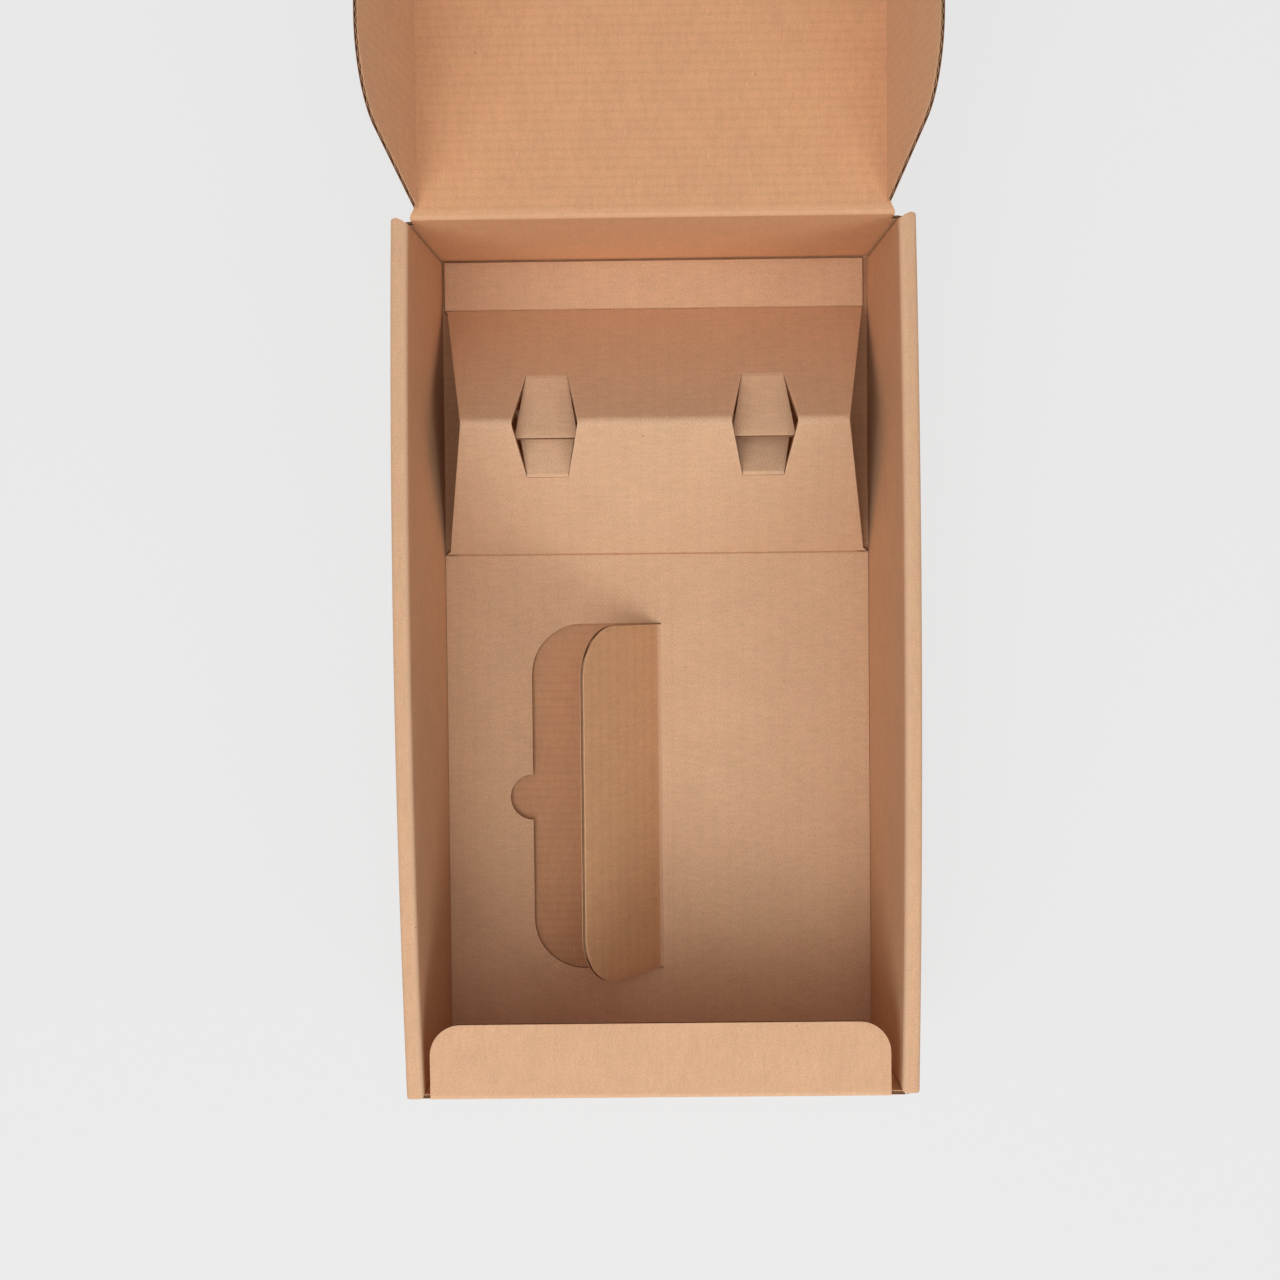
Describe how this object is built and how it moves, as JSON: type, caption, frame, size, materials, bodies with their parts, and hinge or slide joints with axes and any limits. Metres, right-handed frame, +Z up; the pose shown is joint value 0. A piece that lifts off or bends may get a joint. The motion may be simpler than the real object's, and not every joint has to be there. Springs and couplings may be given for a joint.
{
  "type": "bottle gift box",
  "caption": "Open corrugated card gift box with hinged lid, tuck flaps and double side walls, holding a folded insert with neck rests and a raised divider for bottles.",
  "frame": {"origin": "middle of the tray's base, on the face it rests on", "axes": "+Z up, +Y from the front flap towards the lid's hinge, +X to the right seen from the front"},
  "size_m": [0.2, 0.6834, 0.1658],
  "materials": {
    "box_board": "matte kraft liner over a fine flute",
    "insert_board": "matte kraft liner over a coarser flute"
  },
  "bodies": {
    "tray": {"tray": "box_board", "bottle_insert": "insert_board"},
    "lid": {"lid": "box_board"},
    "lid_left_ear": {"lid_left_ear": "box_board"},
    "lid_right_ear": {"lid_right_ear": "box_board"},
    "closing_flap": {"closing_flap": "box_board"},
    "front_flap": {"front_flap": "box_board"},
    "divider_flap": {"divider_flap": "insert_board"}
  },
  "joints": [
    {"name": "lid_hinge", "type": "hinge", "parent": "tray", "child": "lid", "pos_m": [0, 0.16685, 0.08715], "axis": [1, 0, 0], "range_deg": [-12, 179]},
    {"name": "left_ear_fold", "type": "hinge", "parent": "lid", "child": "lid_left_ear", "pos_m": [-0.0885, 0.16685, 0.08715], "axis": [0, 0.9998, 0.0175], "range_deg": [-1, 7]},
    {"name": "right_ear_fold", "type": "hinge", "parent": "lid", "child": "lid_right_ear", "pos_m": [0.0885, 0.16685, 0.08715], "axis": [0, -0.9998, -0.0175], "range_deg": [-1, 7]},
    {"name": "closing_fold", "type": "hinge", "parent": "lid", "child": "closing_flap", "pos_m": [0, 0.50255, 0.09301], "axis": [1, 0, 0], "range_deg": [-70, 20]},
    {"name": "front_fold", "type": "hinge", "parent": "tray", "child": "front_flap", "pos_m": [0, -0.1648, 0.08515], "axis": [1, 0, 0], "range_deg": [-90, 0]},
    {"name": "divider_fold", "type": "hinge", "parent": "tray", "child": "divider_flap", "pos_m": [0, -0.06175, 0.00315], "axis": [0, 1, 0], "range_deg": [-55, 35]}
  ],
  "couplings": [
    {"joint": "left_ear_fold", "follows": "lid_hinge", "ratio": 0.037989},
    {"joint": "right_ear_fold", "follows": "lid_hinge", "ratio": 0.037989}
  ]
}
